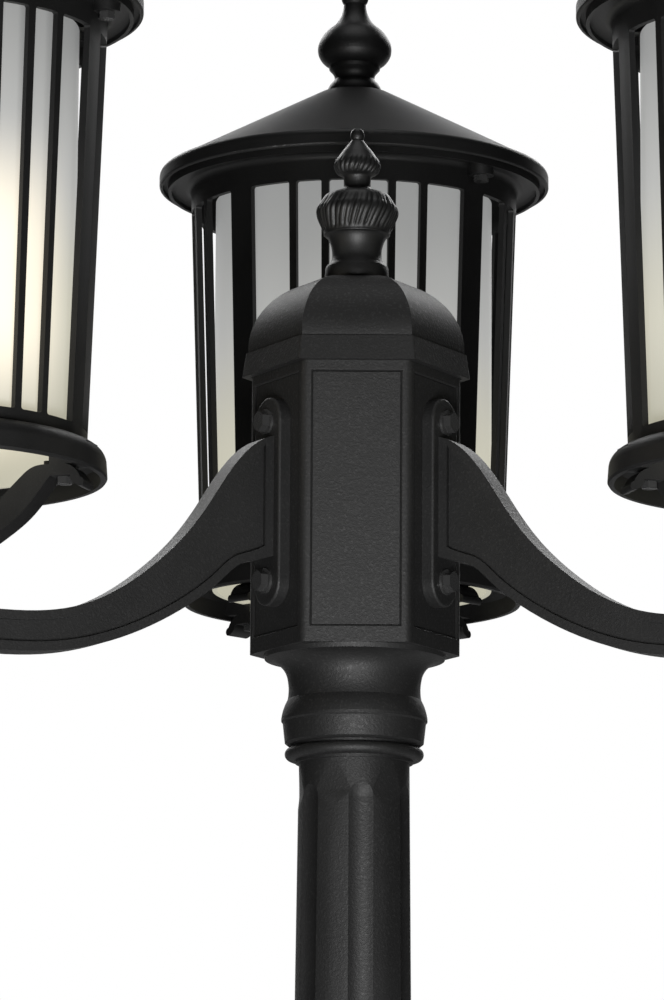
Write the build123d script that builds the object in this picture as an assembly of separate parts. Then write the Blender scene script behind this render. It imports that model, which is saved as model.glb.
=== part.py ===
from build123d import *
import math
import os

# Triple head lamp post. Millimetres, +Z up, origin at the centre of the base's underside.
# The front of the lamp post looks along -Y. Heights of the head are counted from the hub's bottom edge.

# ---------------------------------------------------------------- driving dimensions
HUB_BOTTOM = 1735.0        # height of the hub's bottom edge above the ground
FIT = 0.3                  # running gap between pieces that slide or turn
SEAT = 0.4                 # gap where a curved piece lies beside another

# ground base
BASE_HEIGHT = 300.0
BASE_FLANGE_R = 115.0
BASE_FLANGE_T = 12.0
BASE_FOOT_R = 92.0
BASE_SHAFT_R = 60.0
BASE_WALL = 6.0
ANCHOR_PCD = 196.0
ANCHOR_COUNT = 4
ANCHOR_R = 6.0

# fluted post
POST_TOP_R = 30.0
POST_TAPER = 0.0099        # radius gained per millimetre downwards
POST_WALL = 5.0
POST_TOP_BELOW_HUB = 57.8
JOINT_HEIGHT = 1000.0
SPIGOT_LENGTH = 50.0
FLUTE_COUNT = 6
FLUTE_TURN = 7.0           # degrees from the front
FLUTE_R = 14.0
FLUTE_DEPTH = 2.5
FLUTE_MARGIN = 16.0
FLUTE_HALF_WIDTH = 6.75
JOINT_RING_H = 18.0
JOINT_RING_PROUD = 9.0
TOP_RING_R = 37.7
TOP_RING_LIP_R = 33.5
TOP_RING_LIP_H = 1.7
TOP_ASTRAGAL_R = 32.0
TOP_ASTRAGAL_H = 1.6
TOP_SPIGOT_R = 24.5
TOP_SPIGOT_BORE = 19.5

# hub
HUB_AF = 100.0             # across flats
HUB_TOP = 158.0
HUB_WALL = 6.0
HUB_FLOOR = 6.0
HUB_EDGE_R = 5.0
PANEL_MARGIN = 4.8
PANEL_DEPTH = 1.0
PANEL_BOTTOM = 9.0
PANEL_TOP = 148.0
NECK_BOTTOM = -49.5
NECK_WAIST_R = 35.8
NECK_BULGE_R = 39.7
NECK_RIM_R = 37.7
WIRE_HOLE_R = 14.0
SET_SCREW_R = 3.0
SET_SCREW_ANGLES = (50.0, 130.0)

# hub cap and its fastening
CAP_BOTTOM = 153.6
CAP_BAND_H = 13.4
CAP_BAND_AF = 108.6
CAP_BAND_TOP_AF = 105.0
CAP_DOME_AF = 102.6
CAP_DOME_H = 40.5
CAP_CROWN_AF = 34.0
CAP_WALL = 4.0
BRIDGE_Z = 144.0
BRIDGE_W = 22.0
BRIDGE_T = 4.0
LEDGE_DEPTH = 9.0
LEDGE_H = 10.0
CAP_STUD_R = 4.0
CAP_STUD_INTO_FINIAL = 22.0

# arms
ARM_ANGLES = {"left": 210.0, "right": 330.0, "back": 90.0}
ARM_REACH = 267.0          # post axis to lantern axis
LANTERN_TURNS = {"left": -2.4, "right": 1.1, "back": 91.3}   # how each lantern stands on its arm, degrees
ARM_WIDTH = 16.0
ARM_RIB = 5.0
ARM_WEB_DEPTH = 2.6
FLANGE_W = 27.0
FLANGE_T = 7.0
FLANGE_BOTTOM = 22.5
FLANGE_TOP = 137.0
ARM_END_R = 20.0
ARM_END_TOP = 9.0
ARM_END_BOTTOM = -15.0
BOLT_R = 3.0
BOLT_AF = 10.0
BOLT_HEAD_H = 4.2
BOLT_WASHER_R = 7.0
BOLT_WASHER_T = 1.4
NUT_H = 5.0

# lantern feet
SPIDER_HUB_R = 19.0
SPIDER_HUB_H = 13.0
LEG_COUNT = 4
LEG_TURN = 45.0
LEG_W = 16.0
LEG_BOLT_AT = 83.0
LEG_BOLT_R = 2.5
LEG_BOLT_AF = 8.0
LEG_BOLT_HEAD_H = 3.6
LEG_SEAT_Z = 74.0
LEG_UNDER_Z = 68.0
LEG_TIP_AT = 95.0
LEG_NUB_R = 2.0
LEG_NUB_AT = 73.5
STEM_R = 5.0
STEM_BORE = 3.2
STEM_NUT_AF = 16.0
STEM_NUT_H = 5.0

# lantern ring, cage, glass
RING_R = 100.5
RING_BOTTOM = 71.6
RING_TOP = 88.7
RING_WALL = 3.5
RING_PLATE_T = 4.0
RING_HOLE_R = 84.0
LUG_LENGTH = 21.0
LUG_T = 5.5
CAGE_FOOT_R = 89.6
CAGE_HEAD_R = 97.4
CAGE_TOP = 325.4
CAGE_WALL = 3.4
CAGE_FLANGE_R = 111.2      # flange on the cage's top that carries the roof
CAGE_FLANGE_T = 3.0
CAGE_LIP_W = 2.0
CAGE_LIP_DEPTH = 2.4
CAGE_COVE = 4.0
WINDOW_BOTTOM = 95.5
WINDOW_TOP = 307.0
WINDOW_CORNER_R = 1.5
CAGE_FACES = 4
BAR_STEP = 11.7            # degrees between the narrow bars of one face
BAR_HALF = 1.3             # half width of a narrow bar, degrees
CORNER_HALF = 4.9          # half width of a corner post, degrees
BOSS_R = 7.5               # screw bosses under the cage's flange
BOSS_H = 7.0
BOSS_AT = 102.5
BOSS_ANGLES = (-45.0, 135.0)
ROOF_SCREW_R = 2.5
ROOF_SCREW_AF = 8.0
ROOF_SCREW_HEAD_H = 3.6
GLASS_R = 82.5
GLASS_WALL = 3.0
GLASS_TOP = 314.0

# lamp
HOLDER_R = 20.0
HOLDER_BOTTOM = 58.0
HOLDER_TOP = 112.0
SOCKET_R = 13.6
SOCKET_DEPTH = 25.0
BULB_R = 30.0
BULB_CENTRE = 172.0
BULB_NECK_R = 14.5

# lantern roof
ROOF_BRIM_R = 116.5
ROOF_BRIM_BOTTOM = 322.8
ROOF_FASCIA_H = 10.3
ROOF_APEX = 381.7
ROOF_APEX_R = 21.0
ROOF_WALL = 3.5
ROOF_LIP_W = 2.0
ROOF_SEAT_R = 89.0
ROOF_BAR_W = 18.0
ROOF_BAR_T = 3.0
ROOF_BAR_GAP = 1.0
ROOF_STUD_R = 3.0
ROOF_STUD_INTO_FINIAL = 20.0

# ---------------------------------------------------------------- derived sizes
POST_TOP = HUB_BOTTOM - POST_TOP_BELOW_HUB
HUB_APOTHEM = HUB_AF / 2
PANEL_FACE = HUB_APOTHEM - PANEL_DEPTH
FLANGE_FACE = PANEL_FACE + FLANGE_T
CAVITY_APOTHEM = HUB_APOTHEM - HUB_WALL
BOLT_HEIGHTS = (FLANGE_BOTTOM + FLANGE_W / 2, FLANGE_TOP - FLANGE_W / 2)
CAP_BAND_TOP = CAP_BOTTOM + CAP_BAND_H
CAP_TOP = CAP_BAND_TOP + CAP_DOME_H
TOP_RING_H = POST_TOP_BELOW_HUB + NECK_BOTTOM
SPIDER_TOP = ARM_END_TOP + SPIDER_HUB_H
GLASS_BOTTOM = LEG_SEAT_Z + LUG_T
CAGE_FLANGE_LOW = CAGE_TOP - CAGE_FLANGE_T
ROOF_FASCIA_TOP = ROOF_BRIM_BOTTOM + ROOF_FASCIA_H
ROOF_BAR_TOP = CAGE_TOP - 1.0


# ---------------------------------------------------------------- helpers
def outline(start, *steps):
    """Face in the XZ plane. A step is a point, or a pair (through, end) that makes an arc."""
    edges = []
    here = start
    for step in steps:
        if isinstance(step[0], tuple):
            edges.append(ThreePointArc(here, step[0], step[1]))
            here = step[1]
        else:
            edges.append(Line(here, step))
            here = step
    edges.append(Line(here, start))
    return Plane.XZ * make_face(Wire(edges))


def turned(start, *steps):
    return revolve(outline(start, *steps), Axis.Z)


def tube(outer, inner, low, high):
    return Pos(0, 0, low) * extrude(Circle(outer) - Circle(inner), high - low)


def rod(radius, low, high):
    return Pos(0, 0, low) * extrude(Circle(radius), high - low)


def hexagon(across_flats):
    """Hexagon with a flat side to the front."""
    return RegularPolygon(across_flats / 2, 6, major_radius=False)


def hex_prism(across_flats, low, high):
    return Pos(0, 0, low) * extrude(hexagon(across_flats), high - low)


def around(shape, count, first=0.0):
    """Copies of a shape about the Z axis."""
    return [Rot(0, 0, first + index * 360 / count) * shape for index in range(count)]


def at_head(shape):
    """Lifts a piece drawn from the hub's bottom edge to its height."""
    return Pos(0, 0, HUB_BOTTOM) * shape


def on_arm(shape, side):
    """Puts a piece drawn along +X from the post axis on its own arm."""
    return Rot(0, 0, ARM_ANGLES[side]) * at_head(shape)


def at_lantern(shape, side):
    """Puts a piece drawn about the lantern's own axis on its arm."""
    return on_arm(Pos(ARM_REACH, 0, 0) * Rot(0, 0, LANTERN_TURNS[side]) * shape, side)


def save(name, shape):
    """Writes one node; a list stays a group of separate solids."""
    if isinstance(shape, list):
        solids = [solid for piece in shape for solid in piece.solids()]
        shape = Compound(children=solids) if len(solids) > 1 else solids[0]
    else:
        solids = shape.solids()
        shape = solids[0] if len(solids) == 1 else Compound(children=list(solids))
    shape.label = name
    export_step(shape, "parts/" + name + ".step")


# ---------------------------------------------------------------- base and post
def post_radius(height):
    return POST_TOP_R + POST_TAPER * (POST_TOP - height)


def base():
    """Cast base: bolt flange, ogee foot, tapered shaft and a bead under the post."""
    top_r = post_radius(BASE_HEIGHT)
    bore = top_r - POST_WALL
    shaft_foot = BASE_FLANGE_T + 78
    bead = BASE_HEIGHT - 28
    body = turned(
        (BASE_FLANGE_R, 0),
        ((BASE_FLANGE_R + 2, BASE_FLANGE_T / 2), (BASE_FLANGE_R, BASE_FLANGE_T)),
        (BASE_FOOT_R, BASE_FLANGE_T),
        (BASE_FOOT_R, BASE_FLANGE_T + 8),
        ((BASE_FOOT_R - 6, BASE_FLANGE_T + 32), (BASE_SHAFT_R + 14, BASE_FLANGE_T + 52)),
        ((BASE_SHAFT_R + 4, BASE_FLANGE_T + 64), (BASE_SHAFT_R, shaft_foot)),
        (top_r + 4, bead),
        ((top_r + 13, bead + 8), (top_r + 4, bead + 16)),
        (top_r + 4, BASE_HEIGHT),
        (bore + FIT, BASE_HEIGHT),
        (bore + FIT, BASE_HEIGHT - SPIGOT_LENGTH - 2),
        (BASE_SHAFT_R - 2 * BASE_WALL, shaft_foot),
        (BASE_FOOT_R - 2 * BASE_WALL, BASE_FLANGE_T + 8),
        (BASE_FOOT_R - 2 * BASE_WALL, 0),
    )
    hole = Pos(ANCHOR_PCD / 2, 0, 0) * rod(ANCHOR_R, -1, BASE_FLANGE_T + 1)
    return body - around(hole, ANCHOR_COUNT, 45)


def flute(low, high):
    """Cutter for one flute: a long capsule laid along the tapered surface."""
    out = FLUTE_R - FLUTE_DEPTH
    foot = Vector(post_radius(low) + out, 0, low)
    head = Vector(post_radius(high) + out, 0, high)
    length = (head - foot).length
    part_way = FLUTE_R * math.sin(math.pi / 4)
    capsule = turned(
        (0, -FLUTE_R),
        ((part_way, -part_way), (FLUTE_R, 0)),
        (FLUTE_R, length),
        ((part_way, length + part_way), (0, length + FLUTE_R)),
    )
    return Plane(origin=foot, z_dir=head - foot) * capsule


def fluted_shaft(low, high, bore_low, bore_high):
    shaft = turned(
        (post_radius(low), low),
        (post_radius(high), high),
        (bore_high, high),
        (bore_low, low),
    )
    margin = FLUTE_MARGIN + FLUTE_HALF_WIDTH
    cutters = around(flute(low + margin, high - margin), FLUTE_COUNT, FLUTE_TURN - 90)
    return shaft - cutters


def lower_post():
    low = BASE_HEIGHT
    high = JOINT_HEIGHT
    bore_low = post_radius(low) - 2 * POST_WALL
    bore_high = post_radius(high) - 2 * POST_WALL
    shaft = fluted_shaft(low, high, bore_low, bore_high)
    foot = tube(post_radius(low) - POST_WALL, bore_low, low - SPIGOT_LENGTH, low)
    head = tube(post_radius(high) - POST_WALL, bore_high, high, high + JOINT_RING_H + SPIGOT_LENGTH)
    return shaft + foot + head


def bead_ring(bore, bead_r, height, lip_r, lip_h):
    """Turned ring with a round bead and a lower lip on top."""
    middle = (height - lip_h) / 2
    return turned(
        (bore, 0),
        (bead_r - middle, 0),
        ((bead_r, middle), (bead_r - middle, 2 * middle)),
        (lip_r, 2 * middle),
        (lip_r, height),
        (bore, height),
    )


def joint_ring():
    radius = post_radius(JOINT_HEIGHT)
    bore = radius - POST_WALL + FIT
    ring = bead_ring(bore, radius + JOINT_RING_PROUD, JOINT_RING_H, radius + 1, 3)
    return Pos(0, 0, JOINT_HEIGHT) * ring


def upper_post():
    low = JOINT_HEIGHT + JOINT_RING_H
    high = POST_TOP
    socket = post_radius(JOINT_HEIGHT) - POST_WALL + FIT
    bore_high = TOP_SPIGOT_BORE
    shaft = fluted_shaft(low, high, TOP_SPIGOT_BORE + 6, bore_high)
    shaft -= rod(socket, low - 1, low + SPIGOT_LENGTH + 2)
    shaft += tube(TOP_ASTRAGAL_R, bore_high, high - TOP_ASTRAGAL_H, high)
    spigot_top = HUB_BOTTOM - HUB_FLOOR - 4
    return shaft + tube(TOP_SPIGOT_R, bore_high, high, spigot_top)


def post_top_ring():
    ring = bead_ring(TOP_SPIGOT_R + FIT, TOP_RING_R, TOP_RING_H, TOP_RING_LIP_R, TOP_RING_LIP_H)
    return Pos(0, 0, POST_TOP) * ring


# ---------------------------------------------------------------- hub
def hub_neck():
    bore = TOP_SPIGOT_R + FIT
    stop = -HUB_FLOOR
    return turned(
        (WIRE_HOLE_R, 1),
        (48.0, 1),
        (49.5, 0),
        (49.0, -2.5),
        ((39.6, -6.8), (36.3, -14)),
        ((NECK_WAIST_R, -19.5), (36.4, -25)),
        ((38.3, -29.2), (NECK_BULGE_R, -35)),
        (NECK_BULGE_R, -36.5),
        (NECK_BULGE_R - 0.8, -37.5),
        (NECK_RIM_R, NECK_BOTTOM + 1.2),
        (NECK_RIM_R - 1.5, NECK_BOTTOM),
        (bore, NECK_BOTTOM),
        (bore, stop),
        (WIRE_HOLE_R, stop),
    )


def hub():
    """Hexagonal casting with recessed panels, bolt holes, an inner floor and a turned neck."""
    body = hex_prism(HUB_AF, 0, HUB_TOP)
    body = fillet(body.edges().filter_by(Axis.Z), HUB_EDGE_R)
    body += hub_neck()
    body -= hex_prism(2 * CAVITY_APOTHEM, HUB_FLOOR, HUB_TOP + 1)
    body -= rod(WIRE_HOLE_R, -HUB_FLOOR - 1, HUB_FLOOR + 1)
    panel_w = HUB_AF / math.sqrt(3) - 2 * PANEL_MARGIN
    panel_h = PANEL_TOP - PANEL_BOTTOM
    panel = Box(2 * PANEL_DEPTH, panel_w, panel_h)
    panel = Pos(HUB_APOTHEM, 0, PANEL_BOTTOM + panel_h / 2) * panel
    body -= around(panel, 6, 30)
    hole = Rot(0, 90, 0) * Cylinder(BOLT_R + FIT, 6 * HUB_WALL)
    for height in BOLT_HEIGHTS:
        body -= [Rot(0, 0, angle) * Pos(HUB_APOTHEM, 0, height) * hole for angle in ARM_ANGLES.values()]
    screw = Pos(30, 0, NECK_BOTTOM + 27) * Rot(0, 90, 0) * Cylinder(SET_SCREW_R + FIT, 30)
    body -= [Rot(0, 0, angle) * screw for angle in SET_SCREW_ANGLES]
    ledge = Box(BRIDGE_W + 4, LEDGE_DEPTH, LEDGE_H)
    for side in (-1, 1):
        body += Pos(0, side * (CAVITY_APOTHEM - LEDGE_DEPTH / 2 + 1), BRIDGE_Z - LEDGE_H / 2) * ledge
    return at_head(body)


def hub_set_screws():
    """Grub screws with a hex socket that bear on the post's spigot."""
    length = NECK_WAIST_R - TOP_SPIGOT_R - 2.0
    screw = extrude(Circle(SET_SCREW_R), length)
    screw -= Pos(0, 0, length - 2.5) * extrude(hexagon(3.0), 3)
    screw = Pos(TOP_SPIGOT_R, 0, NECK_BOTTOM + 27) * Rot(0, 90, 0) * screw
    return [at_head(Rot(0, 0, angle) * screw) for angle in SET_SCREW_ANGLES]


def terminal_block():
    """Moulded three-way terminal block on the hub's floor."""
    width, depth, height = 42.0, 16.0, 17.0
    block = Box(width, depth, height, align=(Align.CENTER, Align.CENTER, Align.MIN))
    slot = Box(2, depth + 2, height / 2, align=(Align.CENTER, Align.CENTER, Align.MIN))
    block -= [Pos(x, 0, height / 2) * slot for x in (-7, 7)]
    entry = Rot(90, 0, 0) * Cylinder(2.2, depth + 2)
    block -= [Pos(x, 0, height * 0.3) * entry for x in (-14, 0, 14)]
    return at_head(Pos(0, depth / 2 + 10 - CAVITY_APOTHEM, HUB_FLOOR) * block)


def bridge():
    """Flat bar across the hub's mouth that carries the cap's stud."""
    bar = Box(BRIDGE_W, 2 * CAVITY_APOTHEM - 0.6, BRIDGE_T, align=(Align.CENTER, Align.CENTER, Align.MIN))
    bar -= rod(CAP_STUD_R + 0.05, -1, BRIDGE_T + 1)
    return at_head(Pos(0, 0, BRIDGE_Z) * bar)


def cap_stud():
    """Threaded rod with a nut on each side of the bridge."""
    top = CAP_TOP + CAP_STUD_INTO_FINIAL
    stud = rod(CAP_STUD_R, BRIDGE_Z - 12, top - 1)
    point = Cone(CAP_STUD_R, CAP_STUD_R - 1, 1, align=(Align.CENTER, Align.CENTER, Align.MIN))
    stud += Pos(0, 0, top - 1) * point
    stud += hex_prism(13, BRIDGE_Z + BRIDGE_T, BRIDGE_Z + BRIDGE_T + 6)
    stud += hex_prism(13, BRIDGE_Z - 6, BRIDGE_Z)
    return at_head(stud)


# ---------------------------------------------------------------- hub cap and finial
def dome(base_af, crown_af, height):
    """Hexagonal cloister vault: three barrel profiles, crossed."""
    half = base_af / 2
    crown = crown_af / 2
    run = half - crown
    through = (crown + run * math.sin(math.radians(50)), height * math.cos(math.radians(50)))
    rise = ((-through[0], through[1]), (-crown, height))
    barrel = outline((-half, 0), rise, (crown, height), (through, (half, 0)))
    barrel = extrude(barrel, base_af, both=True)
    vault = Rot(0, 0, 30) * barrel
    vault &= Rot(0, 0, 90) * barrel
    vault &= Rot(0, 0, 150) * barrel
    return vault


def hub_cap():
    """Hexagonal cast cap: flared band, domed top, hollow inside, seated on the hub's rim."""
    band_foot = Pos(0, 0, CAP_BOTTOM) * hexagon(CAP_BAND_AF)
    band = loft([band_foot, Pos(0, 0, CAP_BAND_TOP) * hexagon(CAP_BAND_TOP_AF)])
    band = fillet(band.edges().filter_by(lambda edge: abs(edge.tangent_at(0.5).Z) > 0.5), 2.0)
    cap = band + Pos(0, 0, CAP_BAND_TOP) * dome(CAP_DOME_AF, CAP_CROWN_AF, CAP_DOME_H)
    cap -= hex_prism(HUB_AF + 2 * FIT, CAP_BOTTOM - 1, HUB_TOP)
    cap -= hex_prism(CAP_DOME_AF - 2 * CAP_WALL - 6, HUB_TOP - 1, CAP_BAND_TOP)
    hollow = dome(CAP_DOME_AF - 2 * CAP_WALL - 6, CAP_CROWN_AF - 8, CAP_DOME_H - CAP_WALL)
    cap -= Pos(0, 0, CAP_BAND_TOP) * hollow
    cap -= rod(CAP_STUD_R + FIT, CAP_TOP - 2 * CAP_WALL, CAP_TOP + 1)
    return at_head(cap)


def hub_finial():
    """Turned finial: flange, waist, large bulb, collar, small bulb, spike and ball."""
    finial = turned(
        (0, 0),
        (17.2, 0),
        ((17.5, 4.2), (17.0, 8.5)),
        (14.8, 10.3),
        ((13.5, 14.8), (14.1, 20.5)),
        ((15.7, 24.2), (17.9, 27.3)),
        ((21.6, 34.2), (22.8, 38.8)),
        ((20.9, 43.8), (17.6, 48.6)),
        ((12.2, 50.4), (8.3, 52.2)),
        (7.4, 55.0),
        (7.5, 59.8),
        ((11.6, 62.4), (12.9, 65.6)),
        ((11.5, 69.4), (8.6, 73.4)),
        (3.2, 80.2),
        ((3.7, 83.4), (0.6, 87.0)),
        (0, 87.0),
    )
    finial -= rod(CAP_STUD_R + FIT, -1, CAP_STUD_INTO_FINIAL + 1)
    return at_head(Pos(0, 0, CAP_TOP) * finial)


# ---------------------------------------------------------------- arms
ARM_TOP_LINE = (
    (67, 109.5),
    (75.5, 101.8),
    (86.8, 87.0),
    (97.5, 71.0),
    (113, 51.9),
    (131.5, 35.3),
    (152, 21.2),
    (175, 11.1),
    (212, 5.8),
    (ARM_REACH - 12, ARM_END_TOP - 3),
)
ARM_LOW_LINE = (
    (66, 46.0),
    (77, 42.0),
    (87, 33.5),
    (112.5, 14.3),
    (135, 2.1),
    (158, -7.0),
    (184, -13.2),
    (212, -15.6),
    (ARM_REACH - 12, ARM_END_BOTTOM),
)


def arm_side(inset, start):
    """Side face of the arm, or of the web between its ribs when inset by the rib width."""
    def shifted(points, sign):
        moved = []
        for index, point in enumerate(points):
            before = points[max(index - 1, 0)]
            after = points[min(index + 1, len(points) - 1)]
            slope = math.atan2(after[1] - before[1], after[0] - before[0])
            step = sign * inset
            moved.append((point[0] + step * math.sin(slope), point[1] - step * math.cos(slope)))
        return moved
    upper = [(start, ARM_TOP_LINE[0][1] + 5.5 - inset)] + shifted(ARM_TOP_LINE, 1)
    lower = [(start, ARM_LOW_LINE[0][1] + 3.0 + inset)] + shifted(ARM_LOW_LINE, -1)
    top = Spline(*upper)
    low = Spline(*lower)
    ends = [Line(upper[0], lower[0]), Line(upper[-1], lower[-1])]
    return Plane.XZ * make_face(Wire([top, low, *ends]))


def arm():
    """Cast bracket: bolt flange, S-curved ribbed arm and a round pad under the lantern."""
    body = extrude(arm_side(0.0, FLANGE_FACE - 1), ARM_WIDTH / 2, both=True)
    web = extrude(arm_side(ARM_RIB, FLANGE_FACE + ARM_RIB), ARM_WEB_DEPTH)
    body -= Pos(0, -ARM_WIDTH / 2 + ARM_WEB_DEPTH, 0) * web
    body -= Pos(0, ARM_WIDTH / 2, 0) * web
    height = FLANGE_TOP - FLANGE_BOTTOM
    flange = extrude(SlotOverall(height, FLANGE_W, rotation=90), FLANGE_T)
    flange = fillet(flange.faces().sort_by(Axis.Z)[-1].edges(), 1.5)
    flange = Pos(PANEL_FACE, 0, FLANGE_BOTTOM + height / 2) * (Rot(0, 90, 0) * Rot(0, 0, 90) * flange)
    body += flange
    body += Pos(ARM_REACH, 0, 0) * rod(ARM_END_R, ARM_END_BOTTOM, ARM_END_TOP)
    body -= Pos(ARM_REACH, 0, 0) * rod(STEM_R + FIT, ARM_END_BOTTOM - 1, ARM_END_TOP + 1)
    hole = Rot(0, 90, 0) * Cylinder(BOLT_R + FIT, 4 * FLANGE_T)
    body -= [Pos(FLANGE_FACE, 0, height) * hole for height in BOLT_HEIGHTS]
    return body


def arm_bolts():
    """Two hex bolts with washers through the flange and the hub wall, and their nuts."""
    grip = FLANGE_FACE - CAVITY_APOTHEM
    bolt = rod(BOLT_R, -grip - NUT_H - 2, 0) + rod(BOLT_WASHER_R, 0, BOLT_WASHER_T)
    bolt += hex_prism(BOLT_AF, BOLT_WASHER_T, BOLT_WASHER_T + BOLT_HEAD_H)
    nut = hex_prism(BOLT_AF, -grip - NUT_H, -grip) - rod(BOLT_R + 0.05, -grip - NUT_H - 1, 1 - grip)
    pieces = []
    for height in BOLT_HEIGHTS:
        seat = Pos(FLANGE_FACE, 0, height) * Rot(0, 90, 0)
        pieces += [seat * bolt, seat * nut]
    return pieces


# ---------------------------------------------------------------- lantern feet
def leg():
    """One S-curved leg, drawn along +X: rises from the middle, humps under the ring, ends at its rim."""
    top = Spline(
        (SPIDER_HUB_R - 8, SPIDER_TOP),
        (28, 33.5),
        (44.5, 51.0),
        (62, 68.4),
        (75, LEG_SEAT_Z),
        tangents=((1, 0.15), (1, 0)),
    )
    brow = (LEG_TIP_AT - 9.5, LEG_SEAT_Z)
    chin = (LEG_TIP_AT - 0.8, LEG_UNDER_Z - 1.4)
    toe = (LEG_TIP_AT + 0.2, LEG_UNDER_Z - 6.1)
    heel = (LEG_TIP_AT - 6.4, LEG_UNDER_Z)
    seat = Line((75, LEG_SEAT_Z), brow)
    nose = ThreePointArc(brow, (LEG_TIP_AT - 3.6, LEG_SEAT_Z - 3), chin)
    tip = ThreePointArc(chin, (LEG_TIP_AT + 1.3, LEG_UNDER_Z - 3.4), toe)
    under = ThreePointArc(toe, (LEG_TIP_AT - 4, LEG_UNDER_Z - 4.6), heel)
    flat = Line(heel, (77.8, LEG_UNDER_Z))
    low = Spline(
        (77.8, LEG_UNDER_Z),
        (62.5, 49.2),
        (44.0, 35.4),
        (30.0, 24.0),
        (SPIDER_HUB_R - 2, ARM_END_TOP + 1.5),
        tangents=((-0.8, -1), (-1, -0.5)),
    )
    back = Polyline(
        (SPIDER_HUB_R - 2, ARM_END_TOP + 1.5),
        (SPIDER_HUB_R - 8, ARM_END_TOP + 1.5),
        (SPIDER_HUB_R - 8, SPIDER_TOP),
    )
    side = Plane.XZ * make_face(Wire([top, seat, nose, tip, under, flat, low, *back.edges()]))
    body = extrude(side, LEG_W / 2, both=True)
    body += Pos(LEG_NUB_AT, 0, 0) * rod(LEG_NUB_R, LEG_UNDER_Z, LEG_SEAT_Z + 3)
    body -= Pos(LEG_BOLT_AT, 0, 0) * rod(LEG_BOLT_R + FIT, LEG_UNDER_Z - 5, LEG_SEAT_Z + 1)
    return body


def spider():
    """Four legs cast in one with the round middle that stands on the arm's end."""
    middle = rod(SPIDER_HUB_R, ARM_END_TOP, SPIDER_TOP)
    body = middle + around(leg(), LEG_COUNT, LEG_TURN)
    return body - rod(STEM_R + FIT, ARM_END_TOP - 1, SPIDER_TOP + 1)


def leg_bolts():
    """Hex bolts that hold the ring on the four legs."""
    bolt = rod(LEG_BOLT_R, LEG_UNDER_Z, GLASS_BOTTOM - 1)
    bolt += hex_prism(LEG_BOLT_AF, LEG_UNDER_Z - LEG_BOLT_HEAD_H, LEG_UNDER_Z)
    return around(Pos(LEG_BOLT_AT, 0, 0) * bolt, LEG_COUNT, LEG_TURN)


def stem():
    """Hollow threaded tube from under the arm's end to the lampholder; the wires run inside."""
    return tube(STEM_R, STEM_BORE, ARM_END_BOTTOM - STEM_NUT_H - 4, HOLDER_BOTTOM + 8)


def stem_nuts():
    below = hex_prism(STEM_NUT_AF, ARM_END_BOTTOM - STEM_NUT_H, ARM_END_BOTTOM)
    above = hex_prism(STEM_NUT_AF, SPIDER_TOP, SPIDER_TOP + STEM_NUT_H)
    bore = rod(STEM_R + 0.05, ARM_END_BOTTOM - 2 * STEM_NUT_H, SPIDER_TOP + 2 * STEM_NUT_H)
    return [below - bore, above - bore]


# ---------------------------------------------------------------- lantern body
def lantern_ring():
    """Cast bottom ring: upright rim, rounded shoulder, plate for the cage, four lugs for glass and legs."""
    inner = RING_R - RING_WALL
    plate = RING_TOP - RING_PLATE_T
    ring = turned(
        (inner, RING_BOTTOM),
        (RING_R - 0.8, RING_BOTTOM),
        (RING_R, RING_BOTTOM + 1.2),
        (RING_R - 0.6, RING_TOP - 7.7),
        ((RING_R - 3.3, RING_TOP - 2.5), (CAGE_FOOT_R + 1.5, RING_TOP)),
        (RING_HOLE_R, RING_TOP),
        (RING_HOLE_R, plate),
        (inner - 3, plate),
        (inner, plate - 3),
    )
    corner = (Align.MAX, Align.CENTER, Align.MIN)
    lug = Pos(inner + 1, 0, LEG_SEAT_Z) * Box(LUG_LENGTH, LEG_W, LUG_T, align=corner)
    rib = Box(inner + 1 - RING_HOLE_R, LEG_W, plate + 1 - LEG_SEAT_Z, align=corner)
    lug += Pos(inner + 1, 0, LEG_SEAT_Z) * rib
    ring += around(lug, LEG_COUNT, LEG_TURN)
    hole = Pos(LEG_BOLT_AT, 0, 0) * rod(LEG_BOLT_R + 0.1, LEG_SEAT_Z - 1, GLASS_BOTTOM - 0.8)
    return ring - around(hole, LEG_COUNT, LEG_TURN)


def window(first, last):
    """Cutter for one window between two bars: a flared block with rounded corners."""
    near, far = CAGE_FOOT_R / 2, CAGE_HEAD_R * 1.5
    spread = 2 * math.tan(math.radians((last - first) / 2))
    height = WINDOW_TOP - WINDOW_BOTTOM
    ends = [Pos(0, 0, reach) * Rectangle(spread * reach, height) for reach in (near, far)]
    block = Rot(0, 90, 0) * Rot(0, 0, 90) * loft(ends)
    long_edges = block.edges().filter_by(lambda edge: abs(edge.tangent_at(0.5).X) > 0.5)
    block = fillet(long_edges, WINDOW_CORNER_R)
    return Rot(0, 0, (first + last) / 2) * Pos(0, 0, WINDOW_BOTTOM + height / 2) * block


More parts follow.
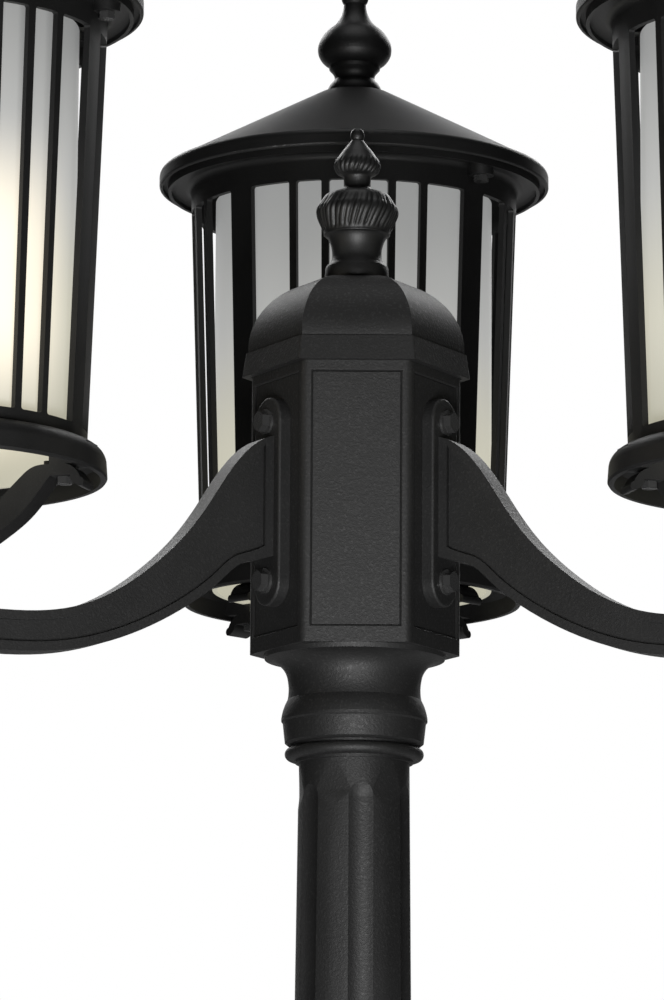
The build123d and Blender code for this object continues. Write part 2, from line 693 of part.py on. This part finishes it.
def cage():
    """Tapered round cage: bars and corner posts, a flange for the roof, bosses for its screws."""
    inner_foot = CAGE_FOOT_R - CAGE_WALL
    inner_head = CAGE_HEAD_R - CAGE_WALL
    lip = CAGE_FLANGE_R - CAGE_LIP_W
    body = turned(
        (inner_foot, RING_TOP),
        (CAGE_FOOT_R, RING_TOP),
        (CAGE_HEAD_R, CAGE_FLANGE_LOW - CAGE_COVE),
        (
            (CAGE_HEAD_R + 0.3 * CAGE_COVE, CAGE_FLANGE_LOW - 0.3 * CAGE_COVE),
            (CAGE_HEAD_R + CAGE_COVE, CAGE_FLANGE_LOW),
        ),
        (lip, CAGE_FLANGE_LOW),
        (lip, CAGE_FLANGE_LOW - CAGE_LIP_DEPTH),
        (CAGE_FLANGE_R, CAGE_FLANGE_LOW - CAGE_LIP_DEPTH),
        (CAGE_FLANGE_R, CAGE_TOP),
        (inner_head, CAGE_TOP),
        (inner_head, CAGE_FLANGE_LOW - CAGE_COVE),
    )
    half_face = 180 / CAGE_FACES
    edges = [-half_face + CORNER_HALF]
    for index in range(-2, 3):
        edges += [index * BAR_STEP - BAR_HALF, index * BAR_STEP + BAR_HALF]
    edges.append(half_face - CORNER_HALF)
    windows = [window(edges[index], edges[index + 1]) for index in range(0, len(edges), 2)]
    for cutter in windows:
        body -= around(cutter, CAGE_FACES)
    lug = Box(8, ROOF_BAR_W + 4, 5, align=(Align.MAX, Align.CENTER, Align.MAX))
    lug = Pos(inner_head + 1, 0, ROOF_BAR_TOP - ROOF_BAR_T) * lug
    body += around(lug, 2)
    boss = rod(BOSS_R, CAGE_FLANGE_LOW - BOSS_H, CAGE_FLANGE_LOW + 1)
    hole = rod(ROOF_SCREW_R + FIT, CAGE_FLANGE_LOW - BOSS_H - 1, CAGE_TOP + 1)
    body += [Rot(0, 0, angle) * Pos(BOSS_AT, 0, 0) * boss for angle in BOSS_ANGLES]
    return body - [Rot(0, 0, angle) * Pos(BOSS_AT, 0, 0) * hole for angle in BOSS_ANGLES]


def roof_screws():
    """Hex screws up through the bosses into the roof."""
    low = CAGE_FLANGE_LOW - BOSS_H
    screw = rod(ROOF_SCREW_R, low, CAGE_TOP + ROOF_WALL)
    screw += hex_prism(ROOF_SCREW_AF, low - ROOF_SCREW_HEAD_H, low)
    return [Rot(0, 0, angle) * Pos(BOSS_AT, 0, 0) * screw for angle in BOSS_ANGLES]


def glass():
    return tube(GLASS_R, GLASS_R - GLASS_WALL, GLASS_BOTTOM, GLASS_TOP)


def lampholder():
    """Ceramic lampholder with a screw socket, on the stem."""
    holder = turned(
        (0, HOLDER_BOTTOM),
        (11, HOLDER_BOTTOM),
        (13, HOLDER_BOTTOM + 10),
        (HOLDER_R - 3, HOLDER_BOTTOM + 18),
        (HOLDER_R, HOLDER_BOTTOM + 22),
        (HOLDER_R, HOLDER_TOP - 3),
        ((HOLDER_R - 0.9, HOLDER_TOP - 0.9), (HOLDER_R - 3, HOLDER_TOP)),
        (SOCKET_R, HOLDER_TOP),
        (SOCKET_R, HOLDER_TOP - SOCKET_DEPTH),
        (0, HOLDER_TOP - SOCKET_DEPTH),
    )
    return holder - rod(STEM_R + 0.05, HOLDER_BOTTOM - 1, HOLDER_BOTTOM + 8)


def bulb():
    """Screw-cap lamp: cap in the socket, tapered neck, round envelope."""
    cap_bottom = HOLDER_TOP - SOCKET_DEPTH + FIT
    cap_r = SOCKET_R - SEAT

    def envelope(degrees):
        angle = math.radians(degrees)
        return (BULB_R * math.cos(angle), BULB_CENTRE + BULB_R * math.sin(angle))

    lamp = turned(
        (0, cap_bottom),
        (cap_r - 5, cap_bottom),
        (cap_r, cap_bottom + 4),
        (cap_r, HOLDER_TOP + 1),
        (BULB_NECK_R, HOLDER_TOP + 2),
        ((BULB_NECK_R + 2.5, HOLDER_TOP + 16), envelope(-35)),
        (envelope(0), envelope(45)),
        (envelope(68), envelope(88)),
        (0, envelope(88)[1]),
    )
    return lamp


def roof_bar():
    """Flat bar on the cage's lugs, with the stud that holds the roof down."""
    length = 2 * (CAGE_HEAD_R - CAGE_WALL - ROOF_BAR_GAP)
    low = ROOF_BAR_TOP - ROOF_BAR_T
    bar = Box(length, ROOF_BAR_W, ROOF_BAR_T, align=(Align.CENTER, Align.CENTER, Align.MIN))
    bar = Pos(0, 0, low) * bar
    bar += rod(ROOF_STUD_R, low - 5, ROOF_APEX + ROOF_STUD_INTO_FINIAL)
    bar += hex_prism(10, low - 4, low)
    return bar + hex_prism(10, ROOF_BAR_TOP, ROOF_BAR_TOP + 4)


def roof():
    """Spun conical roof: rounded fascia with a lip, hollow cone, flat crown for the finial."""
    lip = ROOF_BRIM_R - ROOF_LIP_W
    slope = math.atan2(ROOF_APEX - ROOF_FASCIA_TOP, ROOF_BRIM_R - 4 - ROOF_APEX_R)
    drop = ROOF_WALL / math.cos(slope)
    shell = turned(
        (lip, ROOF_BRIM_BOTTOM),
        (ROOF_BRIM_R - 1.5, ROOF_BRIM_BOTTOM),
        ((ROOF_BRIM_R - 0.4, ROOF_BRIM_BOTTOM + 0.4), (ROOF_BRIM_R, ROOF_BRIM_BOTTOM + 1.5)),
        (ROOF_BRIM_R, ROOF_FASCIA_TOP - 4),
        ((ROOF_BRIM_R - 1.2, ROOF_FASCIA_TOP - 1.1), (ROOF_BRIM_R - 4, ROOF_FASCIA_TOP)),
        (ROOF_APEX_R, ROOF_APEX),
        (ROOF_STUD_R + FIT, ROOF_APEX),
        (ROOF_STUD_R + FIT, ROOF_APEX - ROOF_WALL),
        (ROOF_APEX_R, ROOF_APEX - drop),
        (ROOF_BRIM_R - 4 - ROOF_WALL, CAGE_TOP + ROOF_WALL),
        (ROOF_SEAT_R, CAGE_TOP + ROOF_WALL),
        (ROOF_SEAT_R, CAGE_TOP),
        (lip, CAGE_TOP),
    )
    hole = rod(ROOF_SCREW_R + FIT, CAGE_TOP - 1, CAGE_TOP + ROOF_WALL + 1)
    return shell - [Rot(0, 0, angle) * Pos(BOSS_AT, 0, 0) * hole for angle in BOSS_ANGLES]


def roof_finial():
    """Turned finial: flared foot, waist, ledge, bulb, long tapering tip."""
    finial = turned(
        (0, 0),
        (16.2, 0),
        ((15.9, 3.4), (12.9, 7.8)),
        (12.0, 9.2),
        ((12.1, 11.0), (13.2, 13.2)),
        (15.2, 15.4),
        (15.5, 17.4),
        ((19.6, 20.6), (21.7, 24.4)),
        ((22.1, 28.6), (20.9, 33.0)),
        ((18.3, 37.2), (14.0, 41.1)),
        ((9.3, 46.6), (6.6, 55.9)),
        ((8.2, 60.0), (7.3, 63.8)),
        ((4.4, 71.0), (3.0, 78.0)),
        ((3.9, 81.0), (0.6, 83.6)),
        (0, 83.6),
    )
    finial -= rod(ROOF_STUD_R + FIT, -1, ROOF_STUD_INTO_FINIAL + 1)
    return Pos(0, 0, ROOF_APEX) * finial


# ---------------------------------------------------------------- the assembly
LANTERN_PIECES = {
    "spider": spider,
    "leg_bolts": leg_bolts,
    "stem": stem,
    "stem_nuts": stem_nuts,
    "lantern_ring": lantern_ring,
    "cage": cage,
    "roof_screws": roof_screws,
    "glass": glass,
    "lampholder": lampholder,
    "bulb": bulb,
    "roof_bar": roof_bar,
    "roof": roof,
    "roof_finial": roof_finial,
}
POST_PIECES = {
    "base": base,
    "lower_post": lower_post,
    "joint_ring": joint_ring,
    "upper_post": upper_post,
    "post_top_ring": post_top_ring,
    "hub": hub,
    "hub_set_screws": hub_set_screws,
    "terminal_block": terminal_block,
    "bridge": bridge,
    "cap_stud": cap_stud,
    "hub_cap": hub_cap,
    "hub_finial": hub_finial,
}

os.makedirs("parts", exist_ok=True)
for name, make in POST_PIECES.items():
    save(name, make())
bracket = arm()
bolts = arm_bolts()
for side in ARM_ANGLES:
    save("arm_" + side, on_arm(bracket, side))
    save("arm_bolts_" + side, [on_arm(piece, side) for piece in bolts])
for name, make in LANTERN_PIECES.items():
    shape = make()
    pieces = shape if isinstance(shape, list) else [shape]
    for side in ARM_ANGLES:
        save(name + "_" + side, [at_lantern(piece, side) for piece in pieces])
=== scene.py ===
import math
import bmesh
import bpy
from mathutils import Matrix, Vector


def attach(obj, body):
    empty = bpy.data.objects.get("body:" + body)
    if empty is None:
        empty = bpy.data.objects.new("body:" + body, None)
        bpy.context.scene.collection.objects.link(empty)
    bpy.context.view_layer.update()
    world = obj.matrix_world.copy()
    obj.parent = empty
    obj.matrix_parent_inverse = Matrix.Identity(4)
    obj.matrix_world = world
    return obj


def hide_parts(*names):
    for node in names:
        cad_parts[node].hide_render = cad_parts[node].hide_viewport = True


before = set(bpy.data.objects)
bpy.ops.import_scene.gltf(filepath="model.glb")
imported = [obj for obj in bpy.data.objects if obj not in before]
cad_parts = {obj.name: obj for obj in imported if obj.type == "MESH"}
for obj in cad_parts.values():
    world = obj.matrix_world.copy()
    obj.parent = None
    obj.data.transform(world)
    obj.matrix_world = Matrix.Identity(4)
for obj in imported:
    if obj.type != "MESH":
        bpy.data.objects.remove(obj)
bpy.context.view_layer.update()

# Millimetres, with heights above the hub's bottom edge, unless a name or note says otherwise.
MM = 0.001
HUB_BOTTOM = 1735.0         # above the ground
CAP_TOP = 207.5
PANEL_HALF = 24.07
PANEL_HALF_HEIGHT = 69.5
PANEL_MIDDLE = 78.5
BULB_CAP_TOP = 113.0
THREAD_PITCH = 3.6
SIDES = ("left", "right", "back")
LIT_SIDE = "left"

PHOTO_HEIGHT_PX = 1000
FOCAL_PX = 5749.0
SENSOR = 36.0
CAMERA_PLACE = (-22.5, -3089.0, 1260.0)                             # the height is above the ground
CAMERA_TURNS = {"yaw": -0.00312, "pitch": 0.1796, "roll": -0.00608}  # in radians
CAMERA_REACH_M = 100.0

WORLD_FILL = 0.02
FLOOR_HALF_M = 6.0
FLOOR_DROP_M = 0.0005
HEAD_M = (0.0, 0.0, 1.8)
LIGHTS = [
    # name, place in metres, width and height in metres, watts
    ("key", (0.0, -1.25, 1.25), (0.45, 0.45), 21),
    ("top", (0.0, -0.2, 4.2), (1.5, 1.5), 10),
    ("backdrop", (0.0, 3.2, 2.6), (3.6, 2.4), 30),
    ("rim_left", (-1.4, 3.0, 4.0), (1.2, 1.2), 34),
    ("rim_right", (1.4, 3.0, 4.0), (1.2, 1.2), 34),
]

# Inputs and output of the colour form of the Mix node, which share their names with other forms.
MIX_FACTOR, MIX_A, MIX_B = 0, 6, 7
MIX_RESULT = 2


# ---------------------------------------------------------------- camera
def aim_camera():
    """Long lens from well below the head, as the photograph was taken."""
    data = bpy.data.cameras.new("camera")
    data.sensor_fit = "VERTICAL"
    data.sensor_height = SENSOR
    data.lens = FOCAL_PX / PHOTO_HEIGHT_PX * SENSOR
    data.clip_end = CAMERA_REACH_M
    camera = bpy.data.objects.new("camera", data)
    turn = Matrix.Rotation(CAMERA_TURNS["yaw"], 3, "Z")
    turn = turn @ Matrix.Rotation(CAMERA_TURNS["pitch"], 3, "X")
    turn = turn @ Matrix.Rotation(CAMERA_TURNS["roll"], 3, "Y")
    level = Matrix.Rotation(math.radians(90), 3, "X")
    camera.matrix_world = Matrix.Translation(Vector(CAMERA_PLACE) * MM) @ (turn @ level).to_4x4()
    bpy.context.scene.collection.objects.link(camera)
    bpy.context.scene.camera = camera


# ---------------------------------------------------------------- shader maths
class Signal:
    """An output of a node; arithmetic on it adds the nodes that do the sum."""

    def __init__(self, nodes, socket):
        self.nodes = nodes
        self.socket = socket

    def math(self, operation, other=0.0, turned=False):
        first, second = (other, self) if turned else (self, other)
        return self.nodes.node("ShaderNodeMath", {"operation": operation}, {0: first, 1: second})

    def __add__(self, other):
        return self.math("ADD", other)

    def __radd__(self, other):
        return self.math("ADD", other, True)

    def __sub__(self, other):
        return self.math("SUBTRACT", other)

    def __rsub__(self, other):
        return self.math("SUBTRACT", other, True)

    def __mul__(self, other):
        return self.math("MULTIPLY", other)

    def __pow__(self, other):
        return self.math("POWER", other)

    def __abs__(self):
        return self.math("ABSOLUTE")

    def between(self, low, high):
        """0 below low, 1 above high, smooth in between."""
        settings = {"interpolation_type": "SMOOTHSTEP"}
        sockets = {"Value": self, "From Min": low, "From Max": high}
        return self.nodes.node("ShaderNodeMapRange", settings, sockets)


class Nodes:
    """An emptied node tree and the one way in which nodes are added to it."""

    def __init__(self, tree):
        self.tree = tree
        self.tree.nodes.clear()

    def node(self, kind, settings=None, sockets=None, output=0):
        """Adds a node: its settings first, then the values or links of its sockets."""
        made = self.tree.nodes.new(kind)
        for key, value in (settings or {}).items():
            setattr(made, key, value)
        for key, value in (sockets or {}).items():
            if isinstance(value, Signal):
                self.tree.links.new(value.socket, made.inputs[key])
            else:
                made.inputs[key].default_value = value
        return Signal(self, made.outputs[output]) if made.outputs else None


class Finish(Nodes):
    """One material, built up from nodes."""

    def __init__(self, name):
        self.material = bpy.data.materials.new(name)
        self.material.use_nodes = True
        super().__init__(self.material.node_tree)

    def place(self):
        return self.node("ShaderNodeTexCoord", output="Object")

    def along(self, axis):
        """Place along one axis of the shared frame."""
        return self.node("ShaderNodeSeparateXYZ", sockets={0: self.place()}, output=axis) * (1 / MM)

    def height(self):
        """Height above the hub's bottom edge."""
        return self.along("Z") - HUB_BOTTOM

    def noise(self, size, detail=2.0, roughness=0.5):
        """Noise from 0 to 1 with a grain of about the given width."""
        sockets = {"Vector": self.place(), "Scale": 1 / (size * MM), "Detail": detail, "Roughness": roughness}
        return self.node("ShaderNodeTexNoise", sockets=sockets)

    def blend(self, factor, first, second):
        """Mixes two colours: the first at 0, the second at 1."""
        sockets = {MIX_FACTOR: factor, MIX_A: first, MIX_B: second}
        return self.node("ShaderNodeMix", {"data_type": "RGBA"}, sockets, MIX_RESULT)

    def bump(self, height, depth):
        sockets = {"Height": height, "Distance": depth * MM, "Strength": 1.0}
        return self.node("ShaderNodeBump", sockets=sockets)

    def surface(self, **sockets):
        """Principled shader; underscores stand for the spaces in its sockets' names."""
        named = {key.replace("_", " "): value for key, value in sockets.items()}
        shader = self.node("ShaderNodeBsdfPrincipled", sockets=named)
        self.node("ShaderNodeOutputMaterial", sockets={"Surface": shader})
        return self.material


def rgb(red, green, blue):
    return (red, green, blue, 1.0)


def grey(value):
    return rgb(value, value, value)


# ---------------------------------------------------------------- finishes
def panel_outline(finish):
    """1 along the outline of the hub's six recessed panels, 0 elsewhere."""
    x, y = finish.along("X"), finish.along("Y")
    sixth = math.radians(60)
    sockets = {0: y.math("ARCTAN2", x), 1: sixth, 2: 0.0}
    wrapped = finish.node("ShaderNodeMath", {"operation": "WRAP"}, sockets)
    from_axis = (x * x + y * y) ** 0.5
    across = abs(from_axis * (wrapped - sixth / 2).math("SINE")) - PANEL_HALF
    upright = abs(finish.height() - PANEL_MIDDLE) - PANEL_HALF_HEIGHT
    return 1 - abs(across.math("MAXIMUM", upright)).between(0.1, 0.7)


def powder_coat(name, with_panel_grooves_and_shade=False):
    """Textured black powder coat of hub, arms and post: grains, brighter specks, soft clouding; on the hub also
    grooves along the panel outlines, darkened with painted shade.
    """
    finish = Finish(name)
    grain = finish.noise(1.5, 2.0, 0.6)
    fine = finish.noise(0.7, 1.0)
    cloud = finish.noise(38.0, 3.0)
    speck = grain.between(0.52, 0.72)
    colour = finish.blend(cloud.between(0.3, 0.7), grey(0.005), grey(0.007))
    colour = finish.blend(speck, colour, grey(0.016))
    rough = 0.57 + cloud * 0.08 - speck * 0.10
    relief = grain + fine * 0.5
    if with_panel_grooves_and_shade:
        # Painted shade: the panel outlines are darkened nearly to black, as well as bumped into grooves and
        # made rougher.
        panel_groove_and_shade = panel_outline(finish)
        relief = relief - panel_groove_and_shade * 2.0
        colour = finish.blend(panel_groove_and_shade, colour, grey(0.001))
        rough = rough + panel_groove_and_shade * 0.3
    return finish.surface(Base_Color=colour, Roughness=rough, Normal=finish.bump(relief, 0.18))


def satin_coat():
    """Smoother black coat of the lanterns: a faint orange peel with dust specks."""
    finish = Finish("satin_coat")
    peel = finish.noise(1.1, 2.0)
    cloud = finish.noise(30.0, 3.0)
    dust = finish.noise(0.6, 1.0).between(0.66, 0.80)
    colour = finish.blend(cloud.between(0.3, 0.7), grey(0.003), grey(0.005))
    colour = finish.blend(dust, colour, grey(0.020))
    rough = 0.46 + cloud * 0.08 + dust * 0.1
    return finish.surface(Base_Color=colour, Roughness=rough, Normal=finish.bump(peel, 0.08))


def fastener_steel():
    """Black oxide steel: glossier than the castings, with faint marks of the spanner."""
    finish = Finish("fastener_steel")
    marks = finish.noise(1.6, 4.0, 0.7)
    colour = finish.blend(marks.between(0.62, 0.75), grey(0.032), grey(0.080))
    return finish.surface(
        Base_Color=colour,
        Roughness=0.20 + marks * 0.10,
        Coat_Weight=0.9,
        Coat_Roughness=0.10,
        Normal=finish.bump(marks, 0.015),
    )


def zinc_plate():
    """Zinc-plated steel with a faint clouded bloom."""
    finish = Finish("zinc_plate")
    cloud = finish.noise(6.0, 3.0)
    colour = finish.blend(cloud.between(0.35, 0.65), rgb(0.46, 0.46, 0.43), rgb(0.62, 0.62, 0.60))
    relief = finish.bump(finish.noise(0.8), 0.02)
    return finish.surface(Base_Color=colour, Metallic=1.0, Roughness=0.30 + cloud * 0.15, Normal=relief)


# Emission colours that paint the light coming through the glass: painted shade dims the top, and the glow grows
# brighter and warmer downwards before dimming again at the foot.
GLASS_PAINTED_GLOW_BANDS = [
    # from height, to height, painted glow below
    (200.0, 335.0, rgb(0.470, 0.472, 0.458)),
    (150.0, 235.0, rgb(0.610, 0.590, 0.480)),
    (85.0, 155.0, rgb(0.430, 0.415, 0.320)),
]
# Painted glow at the top of the glass, set dimmer for the lit lantern.
GLASS_TOP_PAINTED_GLOW = rgb(0.255, 0.260, 0.260)
GLASS_TOP_PAINTED_GLOW_LIT = rgb(0.190, 0.194, 0.194)
# Colour of the painted pool of lamp light on the lit glass.
LAMP_LIGHT = rgb(1.25, 1.12, 0.88)


def frosted_glass(name, lit):
    """Etched glass cylinder: pale, with the light through it painted as emission: dimmer towards its top,
    warmer towards its foot, and a painted pool of light round a burning lamp.
    """
    finish = Finish(name)
    height = finish.height()
    frost = finish.noise(0.5, 1.0)
    cloud = finish.noise(60.0, 2.0)
    # Painted glow: the emission stands in for light coming through the glass.
    glow = GLASS_TOP_PAINTED_GLOW_LIT if lit else GLASS_TOP_PAINTED_GLOW
    for low, high, below in GLASS_PAINTED_GLOW_BANDS:
        glow = finish.blend(height.between(low, high), below, glow)
    # Painted pool of lamp light round the burning lamp, fading out where the glass turns away from view.
    if lit:
        lamp = height.between(80.0, 150.0) * (1 - height.between(180.0, 258.0))
        edge = finish.node("ShaderNodeLayerWeight", output="Facing").between(0.08, 0.75)
        glow = finish.blend(lamp * (1 - edge), glow, LAMP_LIGHT)
    return finish.surface(
        Base_Color=finish.blend(cloud * 0.4, rgb(0.17, 0.17, 0.165), rgb(0.21, 0.21, 0.205)),
        Roughness=0.45 + frost * 0.1,
        Emission_Color=glow,
        Emission_Strength=0.9,
        Normal=finish.bump(frost, 0.02),
    )


def porcelain():
    """Glazed porcelain of the lampholders."""
    finish = Finish("porcelain")
    cloud = finish.noise(12.0, 3.0)
    colour = finish.blend(cloud, rgb(0.80, 0.79, 0.75), rgb(0.88, 0.87, 0.84))
    return finish.surface(Base_Color=colour, Roughness=0.12 + cloud * 0.1, Normal=finish.bump(cloud, 0.05))


def terminal_plastic():
    """Moulded pale plastic of the terminal block."""
    finish = Finish("terminal_plastic")
    grain = finish.noise(0.9, 2.0)
    colour = finish.blend(grain, rgb(0.74, 0.72, 0.66), rgb(0.80, 0.79, 0.74))
    return finish.surface(Base_Color=colour, Roughness=0.45 + grain * 0.1, Normal=finish.bump(grain, 0.03))


def opal_bulb():
    """Opal envelope over a bright threaded screw cap."""
    finish = Finish("opal_bulb")
    height = finish.height()
    envelope = height.between(BULB_CAP_TOP, BULB_CAP_TOP + 1)
    thread = (height * (2 * math.pi / THREAD_PITCH)).math("SINE")
    return finish.surface(
        Base_Color=finish.blend(envelope, rgb(0.55, 0.52, 0.45), rgb(0.90, 0.87, 0.80)),
        Metallic=1 - envelope,
        Roughness=0.30 - envelope * 0.1,
        Emission_Color=finish.blend(envelope * height.between(125.0, 150.0), grey(0.0), rgb(1.0, 0.86, 0.62)),
        Emission_Strength=2.0,
        Normal=finish.bump(thread * (1 - envelope), 0.6),
    )


def pale_floor():
    """Pale floor that keeps the object's shadow and turns to plain white away from it."""
    finish = Finish("pale_floor")
    x, y = finish.along("X"), finish.along("Y")
    away = ((x * x + y * y) ** 0.5).between(500.0, 2600.0)
    return finish.surface(
        Base_Color=finish.blend(finish.noise(30.0, 3.0), grey(0.80), grey(0.83)),
        Roughness=0.7,
        Emission_Color=finish.blend(away, grey(0.50), grey(1.0)),
        Emission_Strength=finish.node("ShaderNodeLightPath", output="Is Camera Ray"),
    )


# ---------------------------------------------------------------- carved finial
# Outline of the finial as (radius, height above the cap); each part starts where the last one ends.
FINIAL_FOOT = [(4.3, 0.0), (17.2, 0.0), (17.5, 0.8), (17.5, 4.2), (17.3, 7.6), (16.8, 8.5), (14.8, 10.3)]
FINIAL_NECK = [(14.8, 10.3), (13.9, 12.6), (13.6, 14.8), (13.8, 18.0), (14.4, 20.8), (15.6, 23.8), (16.9, 25.6)]
FINIAL_BULB = [(16.9, 25.6), (18.3, 26.4), (18.2, 27.4), (19.9, 30.4), (22.0, 35.2), (22.9, 38.6), (22.5, 41.4),
               (20.9, 43.9), (17.7, 48.4), (12.6, 50.6), (8.8, 51.8), (7.6, 53.2), (7.4, 55.0)]
FINIAL_COLLAR = [(7.4, 55.0), (7.5, 58.8), (8.2, 59.8)]
FINIAL_SMALL = [(8.2, 59.8), (11.0, 61.2), (12.6, 63.6), (12.9, 65.8), (12.2, 68.2), (10.4, 70.8), (8.6, 73.4)]
FINIAL_SPIKE = [(8.6, 73.4), (6.0, 76.6), (3.9, 79.4), (3.2, 80.2), (3.6, 81.2), (3.9, 83.0), (3.4, 85.2),
                (2.0, 86.6), (0.0, 87.0)]
FINIAL_STEPS = 360
FINIAL_PLAIN_R = 6.0        # what is thinner stays plain
RIB_TWIST = -0.30           # lean of a rib between its ends, in radians
RIB_CREST = 0.7             # the lower, the narrower the hollows
RIB_FADES = (0.12, 0.4)     # shares of a rib's height in which it rises and dies out
RIBS = [
    # from height, to height, count, depth, whether the depth varies round the finial
    (27.6, 48.0, 39, 0.85, True),
    (27.6, 51.0, 13, 0.9, False),
    (60.2, 70.0, 24, 0.8, True),
]


def spun(profile, steps):
    """Closed turned solid from (radius, height) points, about the Z axis."""
    shape = bmesh.new()
    points = [shape.verts.new((radius * MM, 0, height * MM)) for radius, height in profile]
    edges = [shape.edges.new(pair) for pair in zip(points, points[1:])]
    bmesh.ops.spin(shape, geom=points + edges, cent=(0, 0, 0), axis=(0, 0, 1), angle=2 * math.pi,
                   steps=steps, use_merge=True)
    bmesh.ops.remove_doubles(shape, verts=shape.verts, dist=1e-6)
    bmesh.ops.recalc_face_normals(shape, faces=shape.faces)
    return shape


def smooth_profile(points, step=0.5):
    """Rounds a coarse profile with a Catmull-Rom curve, so that turned lobes have rows to bend."""
    rounded = []
    for index in range(len(points) - 1):
        before = points[max(index - 1, 0)]
        here, there = points[index], points[index + 1]
        after = points[min(index + 2, len(points) - 1)]
        count = max(1, round(math.dist(here, there) / step))
        for part in range(count):
            t = part / count
            rounded.append(tuple(
                0.5 * (2 * here[k] + (there[k] - before[k]) * t
                       + (2 * before[k] - 5 * here[k] + 4 * there[k] - after[k]) * t * t
                       + (3 * here[k] - before[k] - 3 * there[k] + after[k]) * t ** 3)
                for k in (0, 1)
            ))
    rounded.append(points[-1])
    return rounded


def hollow(angle, height, low, high, count):
    """How deep the hollows between ribs are at a place: 0 on a crest, 1 between two ribs."""
    if not low < height < high:
        return 0.0
    share = (height - low) / (high - low)
    phase = count * (angle + RIB_TWIST * (share - 0.5)) / 2
    fade = min(1.0, share / RIB_FADES[0], (1 - share) / RIB_FADES[1])
    return fade * (1 - abs(math.cos(phase)) ** RIB_CREST)


def carved_finial(material):
    """Finial of the cap: leaves with fine ribs lean round its two bulbs."""
    profile = FINIAL_FOOT[:-1] + smooth_profile(FINIAL_NECK)[:-1] + smooth_profile(FINIAL_BULB)[:-1]
    profile += FINIAL_COLLAR[:-1] + smooth_profile(FINIAL_SMALL)[:-1] + smooth_profile(FINIAL_SPIKE)
    shape = spun(profile, FINIAL_STEPS)
    for vert in shape.verts:
        height = vert.co.z / MM
        radius = math.hypot(vert.co.x, vert.co.y) / MM
        if radius < FINIAL_PLAIN_R:
            continue
        angle = math.atan2(vert.co.y, vert.co.x)
        uneven = 1 + 0.35 * math.sin(5 * angle) * math.sin(13 * angle)
        back = 0.0
        for low, high, count, depth, varies in RIBS:
            back += hollow(angle, height, low, high, count) * depth * (uneven if varies else 1.0)
        vert.co.x *= (radius - back) / radius
        vert.co.y *= (radius - back) / radius
    bmesh.ops.translate(shape, verts=shape.verts, vec=(0, 0, (HUB_BOTTOM + CAP_TOP) * MM))

    piece = placed("hub_finial_carved", shape, material)
    for face in piece.data.polygons:
        face.use_smooth = True
    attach(piece, "hub_finial")
    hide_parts("hub_finial")


def placed(name, shape, material):
    """Turns a bmesh into an object of the scene."""
    mesh = bpy.data.meshes.new(name)
    shape.to_mesh(mesh)
    shape.free()
    mesh.materials.append(material)
    thing = bpy.data.objects.new(name, mesh)
    bpy.context.scene.collection.objects.link(thing)
    return thing


# ---------------------------------------------------------------- dressing the CAD nodes
def dress():
    """Gives every CAD node its finish; what isn't named has the powder coat."""
    coat = powder_coat("powder_coat")
    satin = satin_coat()
    steel = fastener_steel()
    zinc = zinc_plate()
    finishes = {
        "hub": powder_coat("powder_coat_hub", True),
        "hub_set_screws": steel,
        "terminal_block": terminal_plastic(),
        "bridge": zinc,
        "cap_stud": zinc,
    }
    unlit = frosted_glass("frosted_glass", False)
    lit = frosted_glass("frosted_glass_lit", True)
    ceramic = porcelain()
    lamp = opal_bulb()
    for side in SIDES:
        for fastener in ("arm_bolts_", "leg_bolts_", "stem_nuts_", "roof_screws_"):
            finishes[fastener + side] = steel
        for plated in ("stem_", "roof_bar_"):
            finishes[plated + side] = zinc
        for casting in ("spider_", "lantern_ring_", "cage_", "roof_", "roof_finial_"):
            finishes[casting + side] = satin
        finishes["glass_" + side] = lit if side == LIT_SIDE else unlit
        finishes["lampholder_" + side] = ceramic
        finishes["bulb_" + side] = lamp
    for name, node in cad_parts.items():
        node.data.materials.clear()
        node.data.materials.append(finishes.get(name, coat))
    carved_finial(satin)


# ---------------------------------------------------------------- studio
def soft_light(name, place, size, watts):
    """Area light that is turned towards the head."""
    data = bpy.data.lights.new(name, "AREA")
    data.shape = "RECTANGLE"
    data.size, data.size_y = size
    data.energy = watts
    light = bpy.data.objects.new(name, data)
    light.location = place
    light.rotation_euler = (Vector(HEAD_M) - Vector(place)).to_track_quat("-Z", "Y").to_euler()
    bpy.context.scene.collection.objects.link(light)


def white_world():
    """White to the camera and through glass, and only a faint fill to the object."""
    world = bpy.data.worlds.new("studio")
    bpy.context.scene.world = world
    world.use_nodes = True
    nodes = Nodes(world.node_tree)
    straight = nodes.node("ShaderNodeLightPath", output="Is Camera Ray")
    through = nodes.node("ShaderNodeLightPath", output="Is Transmission Ray")
    strength = WORLD_FILL + straight.math("MAXIMUM", through) * (1 - WORLD_FILL)
    background = nodes.node("ShaderNodeBackground", sockets={"Color": grey(1.0), "Strength": strength})
    nodes.node("ShaderNodeOutputWorld", sockets={"Surface": background})


def studio():
    white_world()
    ground = bmesh.new()
    bmesh.ops.create_grid(ground, x_segments=1, y_segments=1, size=FLOOR_HALF_M)
    floor = placed("floor", ground, pale_floor())
    floor.location.z = -FLOOR_DROP_M
    for light in LIGHTS:
        soft_light(*light)


bpy.context.scene.view_settings.view_transform = "Standard"
aim_camera()
dress()
studio()
